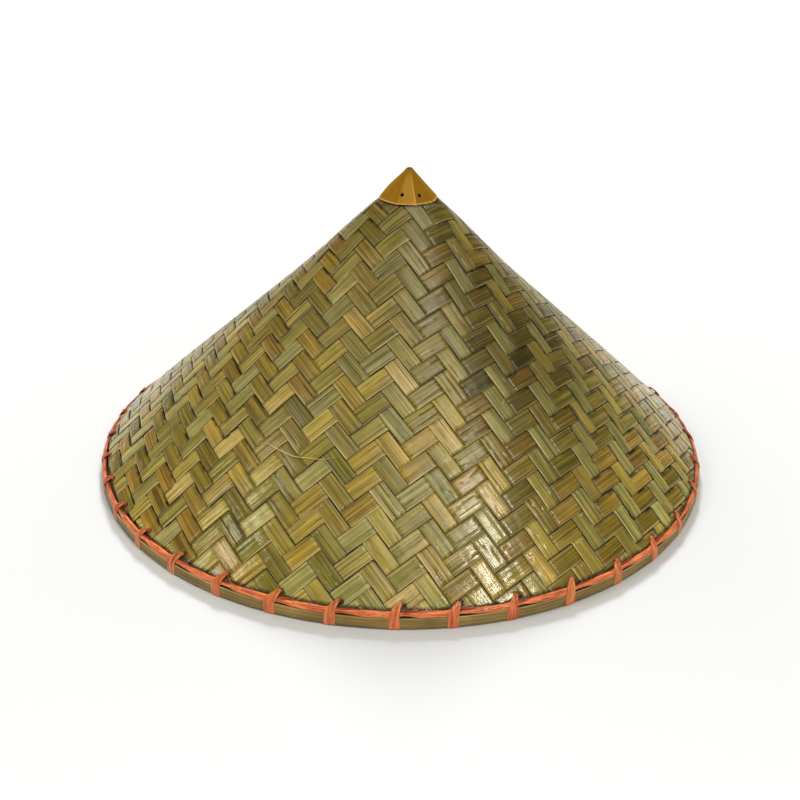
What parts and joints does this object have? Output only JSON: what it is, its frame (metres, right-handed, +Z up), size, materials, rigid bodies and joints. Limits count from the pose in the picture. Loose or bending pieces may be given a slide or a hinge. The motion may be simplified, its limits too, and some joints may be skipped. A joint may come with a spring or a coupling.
{
  "type": "conical hat",
  "caption": "Wide conical sun hat of twill-woven bamboo with a rolled tip cap, leaf lining, laced bamboo rim hoops and an inner head ring.",
  "frame": {"origin": "centre of the base, on the surface that the hat rests on", "axes": "+Z up along the cone's axis, front at -Y"},
  "size_m": [0.421, 0.4206, 0.2019],
  "materials": {
    "green_bamboo": "glossy varnish over split bamboo",
    "amber_bamboo": "satin",
    "olive_bamboo": "satin",
    "cane_ribbon": "satin",
    "dry_leaf": "matt dry leaf",
    "pale_bamboo": "satin"
  },
  "bodies": {
    "root": {"tip_cap": "amber_bamboo", "cap_stitches": "cane_ribbon", "outer_weave": "green_bamboo", "leaf_lining": "dry_leaf", "inner_weave": "pale_bamboo", "rim_outer_hoop": "olive_bamboo", "rim_inner_hoop": "olive_bamboo", "rim_binding_strand": "cane_ribbon", "rim_binding_loops": "cane_ribbon", "head_ring": "pale_bamboo", "head_ring_ties": "cane_ribbon"}
  },
  "joints": []
}
